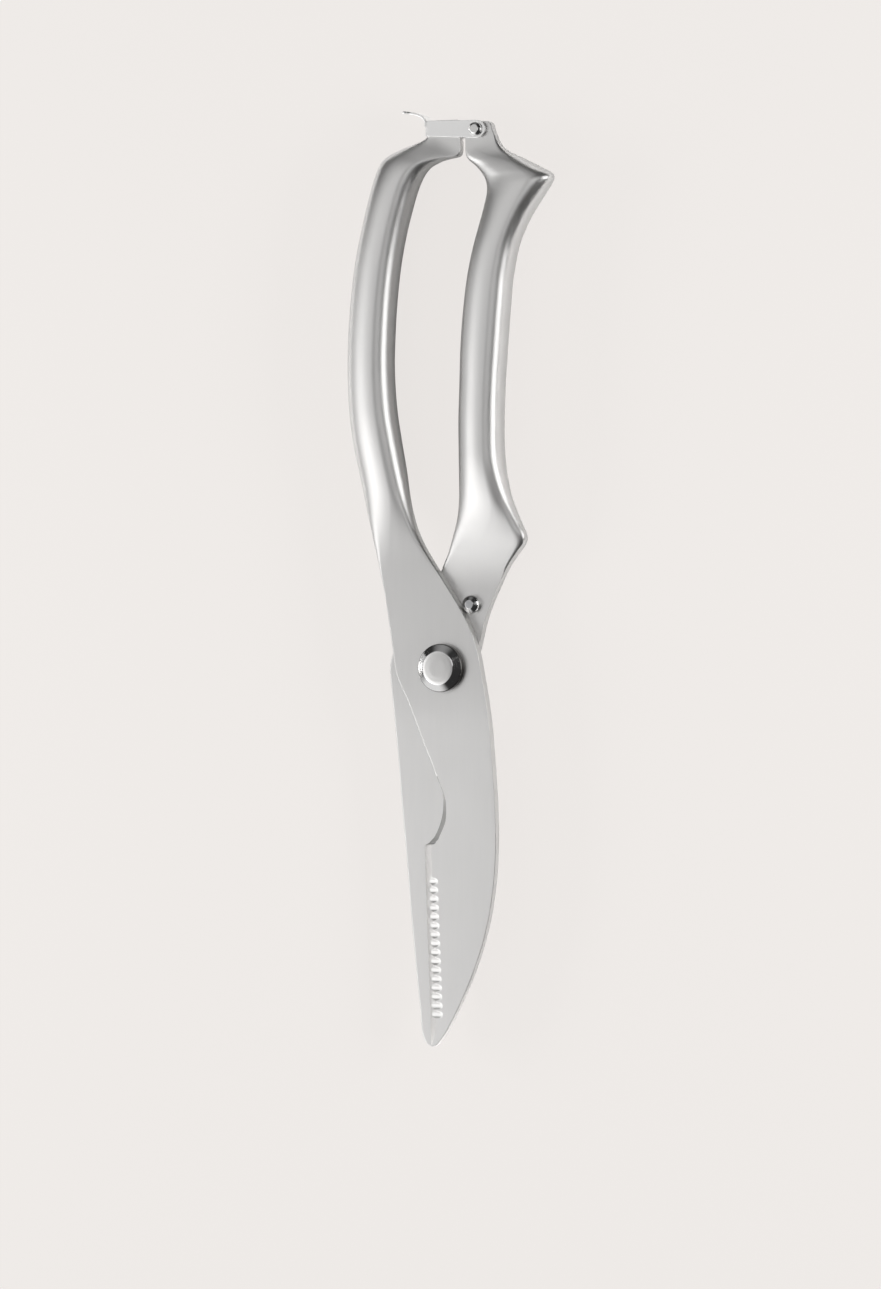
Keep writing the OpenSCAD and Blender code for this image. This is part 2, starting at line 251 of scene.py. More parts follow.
def plate_section(w, zt, zb, tl, tr, br, bl, spread):
    """Section of a flat plate, as rows of across and up, from the left wall over the top.

    w is half the width, zt and zb the two faces. Each corner, top left to bottom left, is
    (in from the wall, down from the face, kind): kind 0 is a fillet and 1 a flat bevel."""
    t = np.linspace(0, 1, CORNER)

    def turn(corner, side, face, up):
        inward, depth, kind = corner
        a = (1 - np.cos(t * math.pi / 2)) * (1 - kind) + t * kind
        b = (1 - np.sin(t * math.pi / 2)) * (1 - kind) + (1 - t) * kind
        return np.array([side * (w - inward * a), face - up * depth * b])

    x0, x1 = -w + tl[0], w - tr[0]
    reach = min(spread, (x1 - x0) * 0.55)
    near = x0 + HOLD + np.arange(FINE) / (FINE - 1) * reach
    far = np.linspace(x0 + HOLD + reach, x1 - min(2 * HOLD, (x1 - x0) * 0.1), TOP - FINE + 1)
    top = np.concatenate([near, far[1:]])
    bottom = np.linspace(w - br[0] - HOLD, -w + bl[0] + HOLD, BOTTOM)
    return np.concatenate([
        [[-w], [(zt - tl[1] + zb + bl[1]) / 2]],
        turn(tl, -1, zt, 1),
        [top, np.full(TOP, zt)],
        turn(tr, 1, zt, 1)[:, ::-1],
        [[w], [(zt - tr[1] + zb + br[1]) / 2]],
        turn(br, 1, zb, -1),
        [bottom, np.full(BOTTOM, zb)],
        turn(bl, -1, zb, -1)[:, ::-1],
    ], axis=1)


def handle_section(w, zt, zb):
    """A full oval whose crown lies right of the middle."""
    c, s = np.cos(ANGLES), np.sin(ANGLES)
    n = np.where(s > 0, np.where(c < 0, 2.1, 2.0), 2.3)  # fuller than an ellipse underneath
    crown = w * (2 * CROWN - 1)
    x = crown + np.where(c < 0, w + crown, w - crown) * np.sign(c) * np.abs(c) ** (2 / n)
    z = np.sign(s) * np.abs(s) ** (2 / n)
    return np.array([x, (zt + zb) / 2 + (zt - zb) / 2 * z])


def build_lever(name, rows, corners, grind=None):
    """rows: left x, y, right x, y, top, bottom, mix of plate (0) and rounded handle (1)."""
    verts = []
    for r in rows:
        a, b = np.array(r[0:2]), np.array(r[2:4])
        zt, zb, mix = r[4:7]
        w = np.linalg.norm(b - a) / 2
        d = (b - a) / (2 * w)
        full = mix * (zt - zb) / (2 * GRIP)  # the rounded sides stand out as the handle fills
        a, b = a - d * SWELL_LEFT * full, b + d * SWELL_RIGHT * full
        w += (SWELL_LEFT + SWELL_RIGHT) * full / 2
        across, up = plate_section(w, zt, zb, *corners(r, w))
        if mix > 0:
            oval = handle_section(w, zt, zb)
            across, up = across * (1 - mix) + oval[0] * mix, up * (1 - mix) + oval[1] * mix
        mid = (a + b) / 2
        pts = np.column_stack([mid[0] + d[0] * across, mid[1] + d[1] * across, up])
        if grind is not None and mix == 0:
            grind(pts)
        verts.append(pts)
    return mesh_object(name, np.concatenate(verts), tube_faces(len(verts), len(verts[0])))


def face_height(y):
    """Height of the outer face above the contact plane."""
    return FACE - TAPER * np.maximum(0, TAPER_FROM - np.asarray(y, float))


def from_outline(left, right, ys):
    """Rungs across a flat outline at those heights."""
    return [(float(x_at(left, y)), y, float(x_at(right, y)), y) for y in ys]


def blade_rows(ys, left, right, top, bottom):
    """Rows of a lever's flat stretch, at those heights."""
    return np.column_stack([x_at(left, ys), ys, x_at(right, ys), ys, top(ys), bottom(ys), ys * 0])


def ladder(rungs, start, top, bottom, mix, step=1.0):
    """Rungs spaced evenly along a handle from the given y on.

    A rung is (left x, y, right x, y) and, past the grip, its half thickness and mix."""
    full = [(*r, GRIP, 1.0) if len(r) == 4 else r for r in rungs]
    value, at = spline(full, 4)
    s0 = np.interp(start, [r[1] for r in rungs[:3]], at[:3])
    rows = value(np.linspace(s0, at[-1], int((at[-1] - s0) / step) + 2))[1:]
    half, blend = np.clip(rows[:, 4], 0, GRIP), np.clip(rows[:, 5], 0, 1)
    y = (rows[:, 1] + rows[:, 3]) / 2
    low_end = y < 90
    return np.column_stack([
        rows[:, :4], np.where(low_end, top(y), half), np.where(low_end, bottom(y), -half),
        np.where(low_end, mix(y), blend)])


# ---------------------------------------------------------------- front lever
# wide blade on the right, handle on the left
FRONT_LEFT = np.vstack([
    dense([(-3.4, -101.6), (-3.9, -101.45), EDGE_TIP]),
    [EDGE_TOP, (-5.5, -47.25)],
    dense([(-4.9, -46.9), (-3.4, -45.3), (-2.3, -43.3), (-1.2, -40.2), (-0.7, -36.5),
           (-0.8, -33.2), (-1.7, -30), (-3.4, -25.2), (-5.2, -21.2), (-7.0, -16.8),
           (-8.7, -12.6), (-10.3, -8.8), (-12.1, -5.3), (-13.6, -1.9), (-14.5, 3.0),
           (-15.3, 8.5), (-16.2, 14), (-17.2, 20), (-18.4, 25.5)]),
])
FRONT_RIGHT = dense([
    (-3.4, -101.6), (-2.3, -101.1), (-0.8, -99.6), (2.6, -94.4), (5.4, -89), (7.9, -83.7),
    (10.1, -78.3), (13.2, -68), (14.8, -59), (15.6, -49), (15.5, -38), (14.8, -27),
    (13.9, -16.5), (12.8, -8.6), (11.7, -2.6), (10.5, 3.5), (8.5, 9.7), (5.6, 15.3),
    (2.6, 20), (-1.1, 25.5)])
FRONT_RUNGS = from_outline(FRONT_LEFT, FRONT_RIGHT, (8.0, 14.0, 20.0)) + [
    (-18.4, 25.5, -1.1, 25.5), (-19.4, 29.6, -3.9, 29.5), (-20.5, 33.6, -6.4, 33.4),
    (-21.7, 38, -8.6, 37.7), (-22.9, 42.4, -10.2, 42.4), (-24.1, 47.3, -11.4, 47.3),
    (-25.4, 53, -12.5, 53), (-26.9, 60, -13.8, 60), (-28.2, 70.5, -15.4, 70),
    (-28.6, 80, -16.1, 80), (-28.4, 90, -15.9, 90), (-27.6, 100, -15.2, 100),
    (-26.1, 110.5, -13.9, 110), (-24.2, 119, -12.1, 118.4), (-22.8, 124.5, -10.8, 123),
    (-21.4, 129.2, -9.7, 126.6, 4.46, 1), (-20.3, 132.4, -8.7, 129.2, 4.38, 1),
    (-19.3, 134.8, -7.7, 131.2, 4.2, 1), (-18.2, 136.4, -6.6, 132.8, 3.95, 1),
    (-16.6, 137.6, -5.2, 134.2, 3.6, 1), (-14.2, 138.7, -3.3, 135.2, 3.1, 0.95),
    (-11.3, 139.8, -1.2, 136, 2.6, 0.85), (-8.7, 140.7, 1, 136.5, 2.1, 0.65),
    (-6.8, 141.4, 2.8, 136.8, 1.7, 0.45), (-5.4, 142.2, 4.1, 137.2, 1.4, 0.2),
    (-4.7, 143.3, 4.6, 138.3, TIP, 0), (-4.5, 144.4, 4.6, 141.5, TIP, 0),
    (-4.5, 145.6, 4.6, 144.9, TIP, 0), (-4.25, 146.4, 4.35, 146.3, TIP, 0),
    (-3.6, 146.8, 3.8, 146.8, TIP, 0)]


def front_corners(r, w):
    """Ground edges of the front lever: cutting bevel, notch bevel, and eased corners."""
    y = (r[1] + r[3]) / 2
    if y > NECK_TOP:
        return EASE, EASE, EASE, EASE, 2.4
    full = face_height(y) - GAP - LAND
    slope = (x_at(FRONT_LEFT, y + 0.2) - x_at(FRONT_LEFT, y - 0.2)) / 0.4
    if y < EDGE_TOP[1]:
        width, depth = BEVEL_SLANT * full, full
    else:
        width = np.interp(y, [-47, -41, -36, -32, -28], [1.8, 2.2, 1.7, 0.8, 0.35])
        width *= math.hypot(1, min(abs(slope), 1.2))  # the width is square to the outline
        depth = np.interp(y, [-40, -35, -31, -28], [full, 2.0, 0.9, 0.35])
    kind = float(np.interp(y, [-31, -27], [1, 0.35]))
    ease = float(np.interp(y, [16, NECK_TOP], [0.18, 0.35]))
    spine = (min(ease, w * 0.3), ease, 0)
    return (min(width, w * 0.8), depth, kind), spine, (0.15, 0.15, 0), (0.02, 0.02, 0), 2.5


def front_teeth(pts):
    """Lowers the outer face where the grooves between the teeth are ground."""
    y = pts[0, 1]
    k = round((FIRST_TOOTH - y) / PITCH)
    dy = y - (FIRST_TOOTH - k * PITCH)
    if not 0 <= k < TEETH or abs(dy) >= TOOTH_R:
        return
    x_edge = np.interp(y, [EDGE_TIP[1], EDGE_TOP[1]], [EDGE_TIP[0], EDGE_TOP[0]])
    drop = TOOTH_R * (1 - (1 - abs(dy / TOOTH_R) ** 2.6) ** (1 / 2.6))
    floor = (float(face_height(y)) + (pts[:, 0] - x_edge - TOOTH_IN) * math.tan(TOOTH_SLOPE)
             + drop / math.cos(TOOTH_SLOPE))
    upper = pts[:, 2] > GAP + 0.3
    pts[upper, 2] = np.minimum(pts[upper, 2], floor[upper])


def front_lever():
    tip = -101.6 + np.array([0.01, 0.05, 0.12, 0.22, 0.35, 0.5, 0.8, 1.2, 1.7, 2.3, 3.0, 3.8])
    ys = np.concatenate([
        tip, np.arange(-97.2, -94.4, 0.7), np.arange(-94.4, -55.8, 0.17),
        np.arange(-55.5, -48.2, 0.7), np.arange(-47.9, -44, 0.13), np.arange(-44, -28, 0.35),
        np.arange(-27.5, 19.6, 1.1), [20.0]])
    blade = blade_rows(ys, FRONT_LEFT, FRONT_RIGHT, face_height, lambda y: y * 0 + GAP)
    handle = ladder(
        FRONT_RUNGS, 20.0,
        lambda y: FACE + (GRIP - FACE) * smoothstep(28, 70, y),
        lambda y: GAP - (GRIP + GAP) * smoothstep(NECK_TOP, 56, y),
        lambda y: smoothstep(23, 48, y))
    lever = build_lever("front_lever_shape", np.vstack([blade, handle]), front_corners,
                        front_teeth)
    cut(lever, drum((0, 0), SLEEVE_R, -FAR, FAR), drum((0, 0), POCKET_R, -FAR, POCKET_D))
    shade(lever, 35)
    return lever


# ---------------------------------------------------------------- rear lever
# narrow blade on the left, handle on the right
REAR_LEFT = dense([
    (-4.6, -101.4), (-5.7, -101.0), (-6.6, -99.6), (-7.8, -91.7), (-9.3, -78.3),
    (-10.9, -62.2), (-12.2, -47.5), (-13.4, -35.4), (-14.6, -22), (-15.9, -9.9),
    (-16.6, -3.2), (-16.8, 0.4), (-16.2, 3.2), (-13.8, 7.2), (-10.2, 12.2), (-6.2, 18.0),
    (-3.0, 23.2)])
REAR_RIGHT = np.vstack([
    [(-4.6, -101.4), (-3.8, -101.2)],
    dense([(3.6, -33), (6.0, -21), (7.8, -12), (8.6, -4), (9.0, 3.2), (9.9, 7.0),
           (11.4, 12.9), (13.5, 18.2), (15.9, 23.1)])])
REAR_RUNGS = from_outline(REAR_LEFT, REAR_RIGHT, (7.5, 13.5, 19.5)) + [
    (-3.0, 23.2, 15.9, 23.1), (-1.6, 26, 17.4, 26.1), (-0.4, 28.6, 19.0, 28.5),
    (0.4, 30.2, 20.2, 30), (0.95, 31.6, 21.4, 31.5), (1.5, 33.2, 22.6, 33),
    (2.05, 34.8, 23.15, 34.6), (2.45, 36.1, 22.9, 36.1), (2.9, 37.5, 22.1, 37.8),
    (3.4, 39.3, 21.3, 39.6), (3.9, 42.2, 20.1, 42.4), (4.2, 45.2, 19, 45.2),
    (4.4, 49.6, 17.75, 49.8), (4.4, 57, 16.6, 57), (4.3, 66, 16.4, 66),
    (4.6, 76, 16.7, 76), (4.9, 86, 17.4, 86), (5.7, 96, 18.2, 96),
    (7.1, 106, 19.3, 106), (9, 114, 21.3, 114.2), (10.2, 118, 23.2, 118.3),
    (11.3, 121.6, 25.3, 121.9), (12.1, 124.6, 27.3, 124.7), (12.6, 127, 29.1, 127.2, 4.46, 1),
    (12.6, 128.8, 30.5, 129.2, 4.35, 1), (12.35, 130, 31.2, 130.55, 4.2, 1),
    (11.9, 131.1, 31.05, 131.5, 4.0, 1), (11.3, 132, 29.6, 132.5, 3.8, 1),
    (10.4, 133.1, 27, 133.8, 3.45, 1), (9.3, 134.2, 24, 135.3, 3.0, 1),
    (8.2, 135.1, 21, 136.7, 2.5, 0.9), (7.2, 135.9, 18.4, 137.9, 2.05, 0.7),
    (6.5, 136.8, 16.6, 139.2, 1.7, 0.45), (6.15, 138, 15.5, 140.7, 1.4, 0.2),
    (6.1, 140, 14.8, 142.4, TIP, 0), (6.1, 142.5, 14.2, 143.9, TIP, 0),
    (6.1, 145.2, 13.6, 145.6, TIP, 0), (6.4, 146, 13.1, 146.05, TIP, 0),
    (7, 146.2, 12.4, 146.2, TIP, 0)]


def rear_corners(r, w):
    """Eased corners of the rear lever, and the bevel behind its hidden cutting edge."""
    y = (r[1] + r[3]) / 2
    if y > NECK_TOP:
        return EASE, EASE, EASE, EASE, 2.4
    grind = float(np.interp(y, [-10, 0], [1, 0]))
    wide = min(0.35 + 1.25 * grind, w * 0.8)
    deep = min(0.35 + 1.5 * grind, face_height(y) - GAP - REAR_LAND)
    c = min(0.35, w * 0.3)
    return (c, 0.3, 0), (0.03, 0.03, 0), (wide, deep, grind), (c, 0.45, 0), 2.4


def rear_lever():
    tip = -101.4 + np.array([0.01, 0.06, 0.15, 0.25, 0.4, 0.6, 0.9, 1.3, 1.8, 2.5, 3.5])
    ys = np.concatenate([tip, np.arange(-96.5, -6, 1.5), np.arange(-5.5, 6, 0.5),
                         np.arange(6.5, 19.0, 1.0), [19.5]])
    blade = blade_rows(ys, REAR_LEFT, REAR_RIGHT, lambda y: y * 0 - GAP,
                       lambda y: -face_height(y))
    handle = ladder(
        REAR_RUNGS, 19.5,
        lambda y: (GRIP + GAP) * smoothstep(21, 57, y) - GAP,
        lambda y: -FACE - (GRIP - FACE) * smoothstep(28, 60, y),
        lambda y: smoothstep(22, 46, y))
    lever = build_lever("rear_lever_shape", np.vstack([blade, handle]), rear_corners)
    cut(lever, drum((0, 0), SLEEVE_R + 0.05, -FAR, FAR), drum((0, 0), POCKET_R, -POCKET_D, FAR),
        drum(STOP, STOP_SHANK_R, -FAR, FAR, 32), drum(RIVET, RIVET_SHANK_R, -FAR, FAR, 32))
    shade(lever, 35)
    return lever


# ---------------------------------------------------------------- turned pieces
# radii gives the rounding at each inner point of a profile
def pivot_bolt():
    end = -2 * FACE - WASHER - 0.88
    profile = [(0, 3.08), (2.4, 3.06), (3.8, 2.98), (4.45, 2.86), (HEAD_R - 0.1, 1.62),
               (HEAD_R, 1.4), (HEAD_R, 0), (SHANK_R, 0), (SHANK_R, end), (0, end)]
    radii = {1: 0.3, 2: 0.25, 3: 0.2, 4: 0.12, 5: 0.12, 6: 0.08, 7: 0, 8: 0.2}
    return lathe("pivot_bolt_shape", rounded(profile, radii), (0, 0, FACE), smooth=40)


def pivot_nut():
    """Low round nut, hollow for the shank, with two holes for a pin spanner."""
    profile = [(0, NUT_H - 0.02), (4.9, NUT_H - 0.02), (5.6, 1.1), (NUT_R, 0.6), (NUT_R, 0),
               (SHANK_R + 0.01, 0), (SHANK_R + 0.01, 0.9), (0, 0.9)]
    radii = {1: 0.3, 2: 0.3, 3: 0.2, 4: 0.1, 5: 0, 6: 0}
    seat = -FACE - WASHER
    nut = lathe("pivot_nut_shape", rounded(profile, radii), (0, 0, seat), flip=True, smooth=40)
    cut(nut, *[drum((x, 0), 0.6, -FAR, seat - NUT_H + 0.7, 32) for x in (3.4, -3.4)])
    shade(nut, 40)
    return nut


def stop_rivet():
    r = STOP_SHANK_R
    profile = [(0, 2.16), (1.15, 2.14), (2.25, 1.35), (2.48, 0.95), (2.48, 0), (r, 0),
               (r, -PLATE), (2.1, -PLATE), (2.1, -PLATE - 0.3), (1.4, -PLATE - 0.78),
               (0, -PLATE - 0.78)]
    radii = {1: 0.1, 2: 0.2, 3: 0.15, 4: 0.05, 5: 0, 6: 0, 7: 0.05, 8: 0.1, 9: 0.2}
    return lathe("stop_rivet_shape", rounded(profile, radii), (*STOP, -GAP), steps=72, smooth=40)


def latch_rivet():
    """A shank through both latch arms, with the same head on either side."""
    out = ARM + LATCH_T
    head = [(0, out + 1.12), (1.15, out + 1.1), (1.75, out + 0.7), (1.88, out + 0.5),
            (1.88, out + 0.06), (RIVET_SHANK_R, out + 0.06)]
    profile = head + [(r, -z) for r, z in head[::-1]]
    radii = {1: 0.15, 2: 0.1, 3: 0.1, 4: 0.08, 5: 0, 6: 0, 7: 0.08, 8: 0.1, 9: 0.1, 10: 0.15}
    return lathe("latch_rivet_shape", rounded(profile, radii), (*RIVET, 0), steps=72, smooth=40)


# ---------------------------------------------------------------- latch
def bent_sheet(path, spans, thick, edge=0.07):
    """A bent sheet. path: (u, v) along its middle line; spans: its (low, high) edge at each point.

    Returns points as (u, v, along) so that the caller can turn them the way the sheet lies."""
    p = np.array(path, float)
    t = np.gradient(p, axis=0)
    t /= np.linalg.norm(t, axis=1)[:, None]
    normal = np.column_stack([-t[:, 1], t[:, 0]])
    h, e = thick / 2, edge
    q = e * (1 - math.sqrt(0.5))
    verts = []
    for c, n, (lo, hi) in zip(p, normal, spans):
        half = min(e, (hi - lo) * 0.3)
        k = half / e
        g = min(0.05, (hi - lo) * 0.1)
        loop = [(lo + half, h), (lo + half + g, h), (hi - half - g, h), (hi - half, h),
                (hi - q * k, h - q), (hi, h - e), (hi, e - h), (hi - q * k, q - h),
                (hi - half, -h), (hi - half - g, -h), (lo + half + g, -h), (lo + half, -h),
                (lo + q * k, q - h), (lo, e - h), (lo, h - e), (lo + q * k, h - q)]
        verts += [(*(c + n * d), along) for along, d in loop]
    return verts, tube_faces(len(p), 16)


def latch_arms():
    """One strip: over the front of the handle tips, round their left end and back behind them."""
    mid, bend = ARM + LATCH_T / 2, 0.75  # middle of an arm, and the radius of the bends
    left, round_from, end = LATCH_LEFT + LATCH_T / 2, RIVET[0], RIVET[0] + 0.4
    run = list(np.linspace(left + bend, round_from, 24))
    run += [round_from + 2.8 * math.sin(a) for a in np.linspace(0.05, 1.0, 22) * math.pi / 2]
    arm = [(x, mid) for x in run[::-1]]
    turn = [(left + bend - bend * math.sin(a), mid - bend + bend * math.cos(a))
            for a in np.linspace(0, math.pi / 2, 9)[1:-1]]
    side = [(left, z) for z in np.linspace(mid - bend, -mid + bend, 5)]
    path = arm + turn + side + [(x, -z) for x, z in turn[::-1]] + [(x, -z) for x, z in arm[::-1]]
    spans = []
    for x, _ in path:
        g = float(np.clip((x - left) / (end - left), 0, 1))
        lo, hi = LATCH_LOW + (141.7 - LATCH_LOW) * g, LATCH_HIGH + (146.5 - LATCH_HIGH) * g
        f = max(0.0, (x - round_from) / 2.8)
        if f > 0:
            half = 2.4 * math.sqrt(max(0.0, 1 - f * f))
            lo, hi = max(lo, RIVET[1] - half), min(hi, RIVET[1] + half)
        spans.append((min(lo, RIVET[1] - 0.02), max(hi, RIVET[1] + 0.02)))
    verts, faces = bent_sheet(path, spans, LATCH_T)
    return mesh_object("latch_shape", [(u, a, v) for u, v, a in verts], faces, 40)


def latch_tab():
    """The finger tab: grows out of the end wall and curls away to the left, thinning to its lip."""
    left, mid = LATCH_LEFT + LATCH_T / 2, ARM + LATCH_T / 2
    curl = dense([(left, 145.2), (left - 0.05, 146.4), (-5.9, 147.5), (-7.2, 148.3),
                  (-9.6, 148.9), (-12.5, 149.35)], 0.25)
    width = [mid + LATCH_T / 2 - 0.02 - 1.2 * smoothstep(0.55, 1.0, k / (len(curl) - 1)) ** 2
             for k in range(len(curl))]
    verts, faces = bent_sheet(curl, [(-float(w), float(w)) for w in width], 0.62)
    return mesh_object("tab_shape", [(u, v, a) for u, v, a in verts], faces, 40)


def latch():
    arms, tab = latch_arms(), latch_tab()
    join = arms.modifiers.new("join", "BOOLEAN")
    join.operation, join.object, join.solver = "UNION", tab, "EXACT"
    cut(arms, drum(RIVET, RIVET_SHANK_R + 0.05, -FAR, FAR, 48))
    bpy.data.objects.remove(tab)
    shade(arms, 40)
    return arms


# ---------------------------------------------------------------- materials
CROSS, ALONG, EVEN = 1500, 60, 900  # noise scale across and along the brushing, and unbrushed
GRAIN = {"X": (ALONG, CROSS, CROSS), "Y": (CROSS, ALONG, CROSS), "0": (EVEN, EVEN, EVEN)}
CLOUD = 55  # noise scale of the cloudiness
SHANK_SHADE_FROM, SHANK_SHADE_TO = -20 * MM, 4 * MM  # where the colour darkens from the ground blade to the shank: painted shade


def steel(name, tone, rough, spread, grain="Y", bump=0.02, fleck=0.03, shank=1.0):
    """Bare steel: fine brushing along one direction, faint cloudiness and uneven polish.

    shank scales the colour past the pivot, next to the ground blades at 1: painted shade on the
    shank."""
    mat = bpy.data.materials.new(name)
    mat.use_nodes = True
    nt = mat.node_tree
    bsdf = nt.nodes["Principled BSDF"]
    bsdf.inputs["Metallic"].default_value = 1.0

    def node(kind, values=(), **props):
        n = nt.nodes.new(kind)
        for k, v in props.items():
            setattr(n, k, v)
        for k, v in values:
            n.inputs[k].default_value = v
        return n

    link = nt.links.new
    coord = node("ShaderNodeTexCoord")
    stretch = node("ShaderNodeMapping", [("Scale", GRAIN[grain])])
    link(coord.outputs["Object"], stretch.inputs["Vector"])
    lines = node("ShaderNodeTexNoise", [("Scale", 1.0), ("Detail", 4), ("Roughness", 0.65)])
    link(stretch.outputs["Vector"], lines.inputs["Vector"])
    cloud = node("ShaderNodeTexNoise", [("Scale", CLOUD), ("Detail", 5)])
    link(coord.outputs["Object"], cloud.inputs["Vector"])
    less = node("ShaderNodeMath", [(1, 0.4)], operation="MULTIPLY")
    link(cloud.outputs["Fac"], less.inputs[0])
    both = node("ShaderNodeMath", [(1, 0.6)], operation="MULTIPLY_ADD")
    link(lines.outputs["Fac"], both.inputs[0])
    link(less.outputs["Value"], both.inputs[2])

    noise_low, noise_high = 0.3, 0.7
    polish = node("ShaderNodeMapRange", [
        ("From Min", noise_low), ("From Max", noise_high),
        ("To Min", rough - spread), ("To Max", rough + spread)])
    link(both.outputs["Value"], polish.inputs["Value"])
    link(polish.outputs["Result"], bsdf.inputs["Roughness"])

    ramp = node("ShaderNodeValToRGB")
    lo, hi = ramp.color_ramp.elements
    lo.position, hi.position = noise_low, noise_high
    lo.color = (*[c * (1 - fleck) for c in tone], 1)
    hi.color = (*[min(1, c * (1 + fleck)) for c in tone], 1)
    link(both.outputs["Value"], ramp.inputs["Fac"])
    colour = ramp.outputs["Color"]
    # painted shade: the colour darkens along Y from the blades to the shank
    if shank < 1:
        place = node("ShaderNodeSeparateXYZ")
        link(coord.outputs["Object"], place.inputs["Vector"])
        along = node("ShaderNodeMapRange", [
            ("From Min", PIVOT.y + SHANK_SHADE_FROM), ("From Max", PIVOT.y + SHANK_SHADE_TO),
            ("To Min", 1.0), ("To Max", shank)], interpolation_type="SMOOTHSTEP")
        link(place.outputs["Y"], along.inputs["Value"])
        shank_shade_scale = node("ShaderNodeVectorMath", operation="SCALE")
        link(colour, shank_shade_scale.inputs[0])
        link(along.outputs["Result"], shank_shade_scale.inputs["Scale"])
        colour = shank_shade_scale.outputs["Vector"]
    link(colour, bsdf.inputs["Base Color"])

    relief = node("ShaderNodeBump", [("Strength", bump), ("Distance", 0.0001)])
    link(lines.outputs["Fac"], relief.inputs["Height"])
    link(relief.outputs["Normal"], bsdf.inputs["Normal"])
    return mat


# the satin steel's colour is darkened on the shank: painted shade
SATIN = steel("satin_steel", (0.87, 0.860, 0.848), 0.34, 0.03, "Y", 0.03, 0.012, shank=0.88)
POLISHED = steel("polished_steel", (0.80, 0.796, 0.792), 0.11, 0.03, "0", 0.02, 0.01)
# near-black steel: painted dark reflection on the side of the bolt's head
RIM_SHADE = steel("painted_dark_rim_steel", (0.16, 0.155, 0.15), 0.20, 0.03, "0", 0.02, 0.02)
GROUND = steel("ground_steel", (0.66, 0.655, 0.65), 0.36, 0.06, "X", 0.12, 0.04)
# also used on the stop rivet's flat top, where its darker colour is painted shade
SPRING_AND_SHADED_TOP = steel("spring_steel", (0.55, 0.55, 0.56), 0.30, 0.05, "0", 0.05, 0.05)
# coarser grind for the bone notch; its dark colour is painted shade
NOTCH_GRIND_AND_SHADE = steel("notch_grind_and_painted_shade", (0.41, 0.407, 0.403), 0.36, 0.05, "0", 0.08, 0.04)
SHEET = steel("sheet_steel", (0.95, 0.943, 0.935), 0.24, 0.04, "X", 0.03, 0.012)


def finish_with(obj, *materials):
    """Gives obj those materials, the first one everywhere."""
    obj.data.materials.clear()
    for mat in materials:
        obj.data.materials.append(mat)


def finish_faces(obj, slot, wanted):
    """Gives the material in that slot to the faces for which wanted(face) is true."""
    for face in obj.data.polygons:
        if wanted(face):
            face.material_index = slot


def is_flat(face):
    return abs(face.normal.z) > 0.97


def in_notch(face):
    """The bone notch is given a coarser grind and a much darker colour; the darkness is painted
    shade.
    """
    x, y, _ = (face.center - PIVOT) / MM
    return NOTCH_LOW < y < NOTCH_HIGH and x < 4 and 0.2 < face.normal.z < 0.95


def on_painted_rim(face):
    """The side of the bolt's head, coloured near black: a painted dark reflection."""
    return (face.center - PIVOT).xy.length > (HEAD_R - 0.23) * MM


# ---------------------------------------------------------------- the pieces
front, rear = front_lever(), rear_lever()
bolt, nut, stop, pin = pivot_bolt(), pivot_nut(), stop_rivet(), latch_rivet()
bail = latch()
for piece, body, node_name, slot in (
    (front, "front", "front_lever", "satin_steel"),
    (rear, "rear", "rear_lever", "satin_steel"),
    (bolt, "front", "pivot_bolt", "polished_steel"),
    (nut, "front", "pivot_nut", "polished_steel"),
    (stop, "rear", "stop_rivet", "polished_steel"),
    (pin, "rear", "latch_rivet", "polished_steel"),
    (bail, "latch", "latch", "sheet_steel"),
):
    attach(piece, body)
    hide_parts(node_name)

finish_with(front, SATIN, NOTCH_GRIND_AND_SHADE)
finish_faces(front, 1, in_notch)
finish_with(rear, SATIN)
# the stop rivet's flat top takes the darker spring steel: painted shade on it
for piece, top in ((nut, SATIN), (stop, SPRING_AND_SHADED_TOP), (pin, SATIN)):
    finish_with(piece, POLISHED, top)
    finish_faces(piece, 1, is_flat)
# the bolt's side is coloured near black as a painted dark reflection; its flat top is satin
finish_with(bolt, POLISHED, RIM_SHADE, SATIN)
finish_faces(bolt, 2, is_flat)
finish_faces(bolt, 1, on_painted_rim)
finish_with(bail, SHEET)
for carried, mat in (("pivot_sleeve", GROUND), ("pivot_washer", GROUND), ("return_spring", SPRING_AND_SHADED_TOP)):
    finish_with(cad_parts[carried], mat)


# ---------------------------------------------------------------- floor
def plane(name, z, colour, diffuse, glow):
    """A level plane that gives back part of the light and glows evenly with the rest."""
    mesh = bpy.data.meshes.new(name)
    bm = bmesh.new()
    bmesh.ops.create_grid(bm, x_segments=1, y_segments=1, size=6)
    bm.to_mesh(mesh)
    bm.free()
    obj = bpy.data.objects.new(name, mesh)
    bpy.context.collection.objects.link(obj)
    obj.location.z = z
    mat = bpy.data.materials.new(name)
    mat.use_nodes = True
    bsdf = mat.node_tree.nodes["Principled BSDF"]
    bsdf.inputs["Base Color"].default_value = (*[c * diffuse for c in colour], 1)
    bsdf.inputs["Roughness"].default_value = 0.9
    bsdf.inputs["Specular IOR Level"].default_value = 0.0
    bsdf.inputs["Emission Color"].default_value = (*colour, 1)
    bsdf.inputs["Emission Strength"].default_value = glow
    obj.data.materials.append(mat)
    return obj


# the camera sees the floor; the steel is lit by and reflects the bounce plane just under it
GROUND_Z = min(0.0, cad_box[0][2]) - 0.0005
floor = plane("floor", GROUND_Z, (0.855, 0.823, 0.799), 0.06, 0.925)
floor.visible_glossy = floor.visible_shadow = floor.visible_diffuse = False
bounce = plane("bounce", GROUND_Z - 0.0002, (0.76, 0.75, 0.74), 1.0, 0.02)
bounce.visible_camera = False


# ---------------------------------------------------------------- light
def leaning(x_angle, y_angle):
    """A direction leaning from straight up by so many degrees towards +X and +Y."""
    a, b = math.radians(x_angle), math.radians(y_angle)
    return (math.sin(a) * math.cos(b), math.sin(b), math.cos(a) * math.cos(b))


